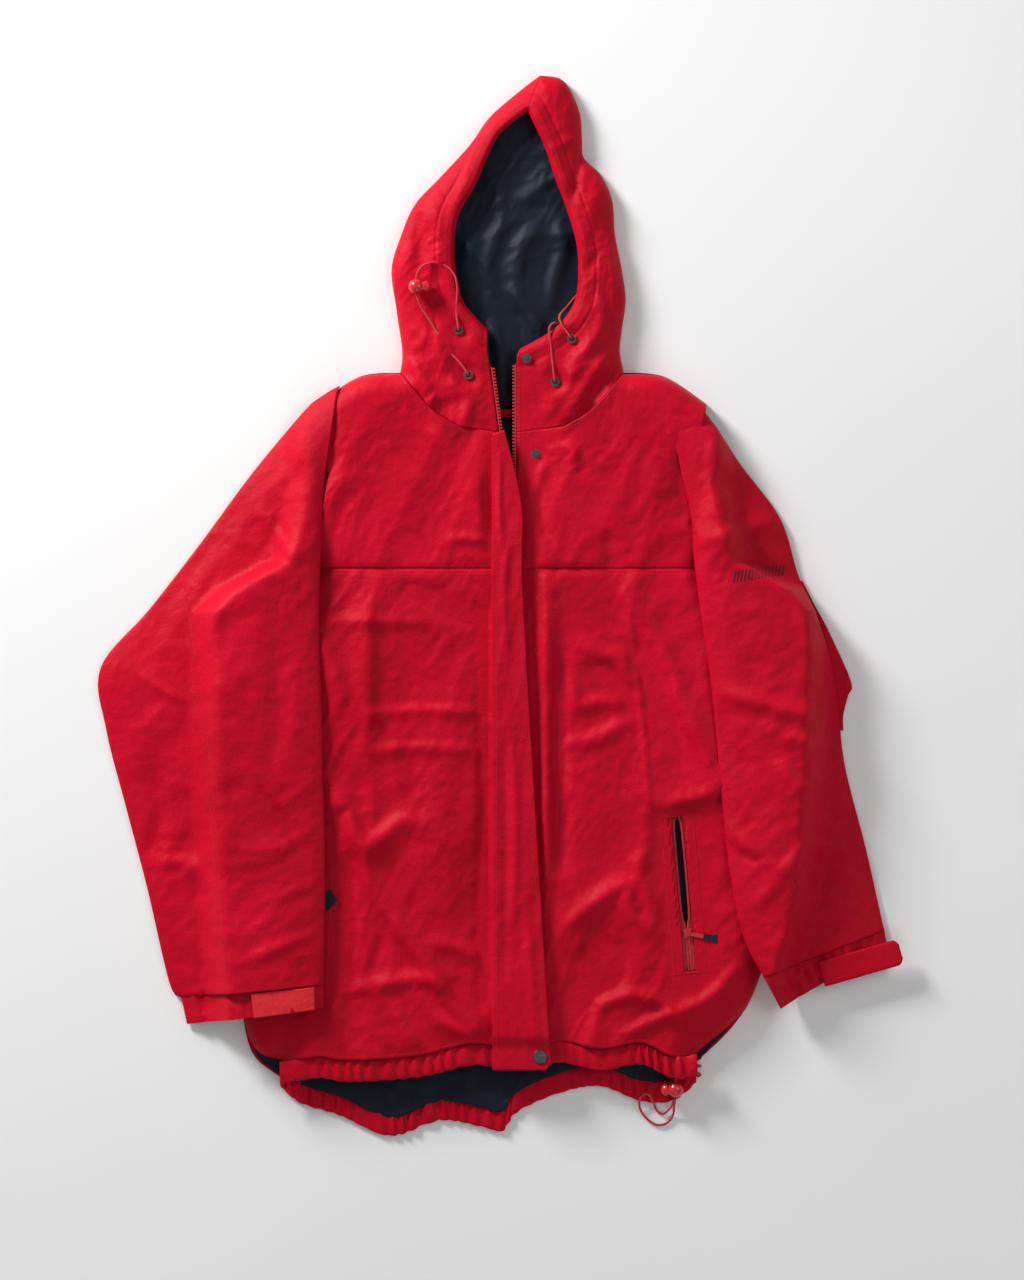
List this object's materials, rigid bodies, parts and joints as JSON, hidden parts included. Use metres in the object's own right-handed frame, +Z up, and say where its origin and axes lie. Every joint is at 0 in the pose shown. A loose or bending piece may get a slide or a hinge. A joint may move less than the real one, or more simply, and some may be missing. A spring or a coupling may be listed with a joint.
{
  "type": "foul weather jacket",
  "caption": "Hooded, lined sailing jacket laid flat on its back, with a zipped front under a snapped storm flap, zipped hand pockets, drawcords with ball locks and elastic cuffs.",
  "frame": {"origin": "on the surface the jacket lies on, under the front zip, half way up the jacket", "axes": "+X to the wearer's left, +Y to the hood, +Z up from the surface, away from the back"},
  "size_m": [0.8246, 1.091, 0.0449],
  "materials": {
    "shell": "coated crinkled nylon",
    "lining": "satin",
    "tape": "woven",
    "zip_plastic": "moulded",
    "dark_metal": "dark plated",
    "cord": "braided",
    "lock_plastic": "gloss",
    "spring_steel": "bright wire",
    "loop_fabric": "looped pile",
    "label": "plain woven"
  },
  "bodies": {
    "torso": {"back_panel": "shell", "back_lining": "lining", "right_front_panel": "shell", "left_front_panel": "shell", "right_yoke": "shell", "left_yoke": "shell", "right_front_lining": "lining", "left_front_lining": "lining", "back_hem_band": "shell", "right_hem_band": "shell", "left_hem_band": "shell", "hem_elastic": "cord", "hem_cord": "cord", "hem_lock_barrel": "lock_plastic", "cord_lock_springs": "spring_steel", "right_zip_tape": "tape", "left_zip_tape": "tape", "right_zip_teeth": "zip_plastic", "left_zip_teeth": "zip_plastic", "zip_retainer_box": "zip_plastic", "front_snap_studs": "dark_metal", "right_pocket_welt": "shell", "left_pocket_welt": "shell", "right_pocket_bag": "lining", "left_pocket_bag": "lining", "right_pocket_zip": "zip_plastic", "left_pocket_zip": "zip_plastic", "hood_back_panel": "shell", "hood_lining": "lining", "hood_right_panel": "shell", "hood_left_panel": "shell", "hood_eyelets": "dark_metal", "right_hood_cord": "cord", "left_hood_cord": "cord", "right_hood_lock_barrel": "lock_plastic", "left_hood_lock_barrel": "lock_plastic", "neck_label": "label", "hanger_loop": "loop_fabric"},
    "storm_flap": {"storm_flap": "shell", "flap_snap_caps": "dark_metal", "flap_snap_sockets": "dark_metal"},
    "zip_slider": {"zip_slider": "dark_metal"},
    "zip_pull": {"zip_pull": "dark_metal"},
    "right_pocket_slider": {"right_pocket_slider": "zip_plastic"},
    "left_pocket_slider": {"left_pocket_slider": "zip_plastic"},
    "right_pocket_pull": {"right_pocket_pull": "zip_plastic"},
    "left_pocket_pull": {"left_pocket_pull": "zip_plastic"},
    "right_hood_plunger": {"right_hood_lock_plunger": "lock_plastic"},
    "left_hood_plunger": {"left_hood_lock_plunger": "lock_plastic"},
    "hem_plunger": {"hem_lock_plunger": "lock_plastic"},
    "right_sleeve": {"right_sleeve_top": "shell", "right_sleeve_under": "shell", "right_cuff": "shell", "right_cuff_loop_patch": "loop_fabric"},
    "left_sleeve": {"left_sleeve_top": "shell", "left_sleeve_under": "shell", "left_cuff": "shell", "left_cuff_loop_patch": "loop_fabric"},
    "right_cuff_tab": {"right_cuff_tab": "shell"},
    "left_cuff_tab": {"left_cuff_tab": "shell"}
  },
  "joints": [
    {"name": "storm_flap_hinge", "type": "hinge", "parent": "torso", "child": "storm_flap", "pos_m": [-0.02, 0, 0.0306], "axis": [0, -1, 0], "range_deg": [0, 170]},
    {"name": "zip_slider_slide", "type": "slide", "parent": "torso", "child": "zip_slider", "axis": [0, 1, 0], "range_m": [-0.496, 0.15]},
    {"name": "zip_pull_lift", "type": "hinge", "parent": "zip_slider", "child": "zip_pull", "pos_m": [0, 0.09, 0.0258], "axis": [-1, 0, 0], "range_deg": [0, 10]},
    {"name": "right_pocket_slide", "type": "slide", "parent": "torso", "child": "right_pocket_slider", "axis": [0.0523, 0.9986, 0], "range_m": [-0.035, 0.1]},
    {"name": "left_pocket_slide", "type": "slide", "parent": "torso", "child": "left_pocket_slider", "axis": [-0.0872, 0.9962, 0], "range_m": [-0.03, 0.105]},
    {"name": "right_pocket_pull_swing", "type": "hinge", "parent": "right_pocket_slider", "child": "right_pocket_pull", "pos_m": [-0.20478, -0.33395, 0.0253], "axis": [0, 0, 1], "range_deg": [-50, 60]},
    {"name": "left_pocket_pull_swing", "type": "hinge", "parent": "left_pocket_slider", "child": "left_pocket_pull", "pos_m": [0.17949, -0.33585, 0.0253], "axis": [0, 0, 1], "range_deg": [-70, 90]},
    {"name": "right_hood_lock_press", "type": "slide", "parent": "torso", "child": "right_hood_plunger", "axis": [-1, 0, 0], "range_m": [0, 0.003], "stiffness_N_per_m": 250, "springref_m": -0.002, "deforming": ["cord_lock_springs"]},
    {"name": "left_hood_lock_press", "type": "slide", "parent": "torso", "child": "left_hood_plunger", "axis": [0, -1, 0], "range_m": [0, 0.003], "stiffness_N_per_m": 250, "springref_m": -0.002, "deforming": ["cord_lock_springs"]},
    {"name": "hem_lock_press", "type": "slide", "parent": "torso", "child": "hem_plunger", "axis": [1, 0, 0], "range_m": [0, 0.003], "stiffness_N_per_m": 250, "springref_m": -0.002, "deforming": ["cord_lock_springs"]},
    {"name": "right_sleeve_swing", "type": "hinge", "parent": "torso", "child": "right_sleeve", "pos_m": [-0.19, 0.215, 0.0306], "axis": [0, 0, -1], "range_deg": [0, 35]},
    {"name": "left_sleeve_swing", "type": "hinge", "parent": "torso", "child": "left_sleeve", "pos_m": [0.185, 0.212, 0.0306], "axis": [0, 0, 1], "range_deg": [0, 35]},
    {"name": "right_cuff_tab_lift", "type": "hinge", "parent": "right_sleeve", "child": "right_cuff_tab", "pos_m": [-0.198, -0.402, 0.0293], "axis": [0, 1, 0], "range_deg": [0, 2.5]},
    {"name": "left_cuff_tab_lift", "type": "hinge", "parent": "left_sleeve", "child": "left_cuff_tab", "pos_m": [0.318, -0.378, 0.0135], "axis": [0.2756, -0.9613, 0], "range_deg": [0, 125]}
  ]
}
